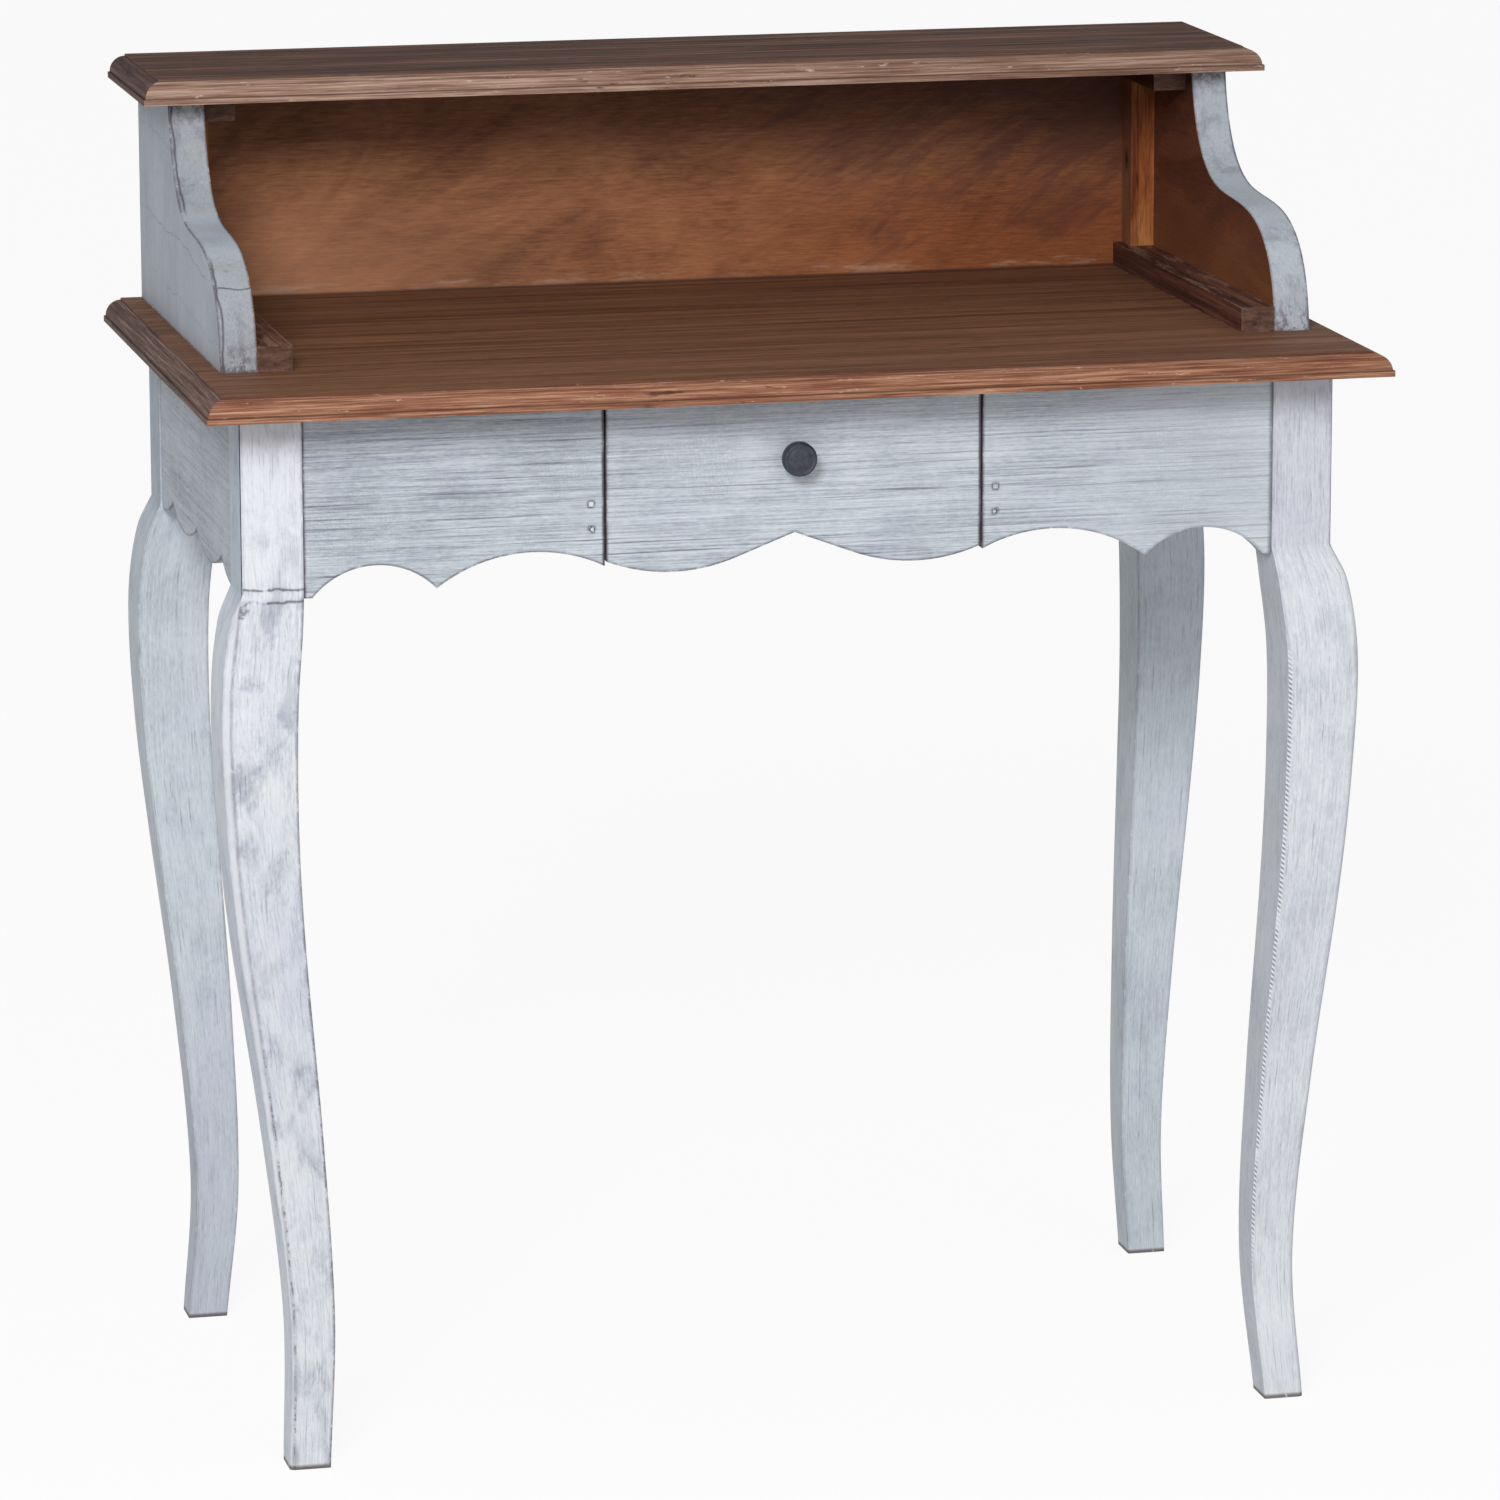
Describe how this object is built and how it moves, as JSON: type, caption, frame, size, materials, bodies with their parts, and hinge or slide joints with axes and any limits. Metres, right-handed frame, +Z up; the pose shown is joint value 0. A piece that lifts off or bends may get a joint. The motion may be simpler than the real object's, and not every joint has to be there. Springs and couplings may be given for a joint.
{
  "type": "bonheur du jour writing desk",
  "caption": "Small writing desk on cabriole legs with scalloped aprons, a sliding drawer in the front and a low hutch with S-shaped sides, a back panel and an upper shelf.",
  "frame": {"origin": "on the floor at the middle of the footprint", "axes": "+Z up, the drawer opens towards -Y, +X to the right seen from the front"},
  "size_m": [0.9, 0.5, 1.01],
  "materials": {
    "whitewash": "pale blue-grey brushed paint on wood, worn at the edges",
    "brown_wood": "stained red-brown wood with a satin wax finish",
    "plain_wood": "bare sawn wood",
    "knob_iron": "dark grey, matt",
    "steel": "plain"
  },
  "bodies": {
    "frame": {"apron_nails": "steel", "back_apron": "whitewash", "back_panel_nails": "steel", "base_cleat_left": "brown_wood", "base_cleat_right": "brown_wood", "corner_cleat_left": "brown_wood", "corner_cleat_right": "brown_wood", "corner_cleat_screws": "steel", "desk_top": "brown_wood", "drawer_runner_left": "plain_wood", "drawer_runner_right": "plain_wood", "drawer_stop_left": "plain_wood", "drawer_stop_right": "plain_wood", "front_apron_left": "whitewash", "front_apron_right": "whitewash", "hutch_back_panel": "brown_wood", "hutch_nails": "steel", "hutch_side_left": "whitewash", "hutch_side_right": "whitewash", "leg_back_left": "whitewash", "leg_back_right": "whitewash", "leg_front_left": "whitewash", "leg_front_right": "whitewash", "partition_left": "plain_wood", "partition_right": "plain_wood", "shelf_cleat_left": "brown_wood", "shelf_cleat_right": "brown_wood", "shelf_nails": "steel", "side_apron_left": "whitewash", "side_apron_right": "whitewash", "top_batten_left": "plain_wood", "top_batten_right": "plain_wood", "top_screws": "steel", "upper_shelf": "brown_wood"},
    "drawer": {"drawer_back": "plain_wood", "drawer_bottom": "plain_wood", "drawer_front": "whitewash", "drawer_knob": "knob_iron", "drawer_side_left": "plain_wood", "drawer_side_right": "plain_wood", "knob_screw": "steel"}
  },
  "joints": [
    {"name": "drawer_slide", "type": "slide", "parent": "frame", "child": "drawer", "axis": [0, -1, 0], "range_m": [0, 0.25]}
  ]
}
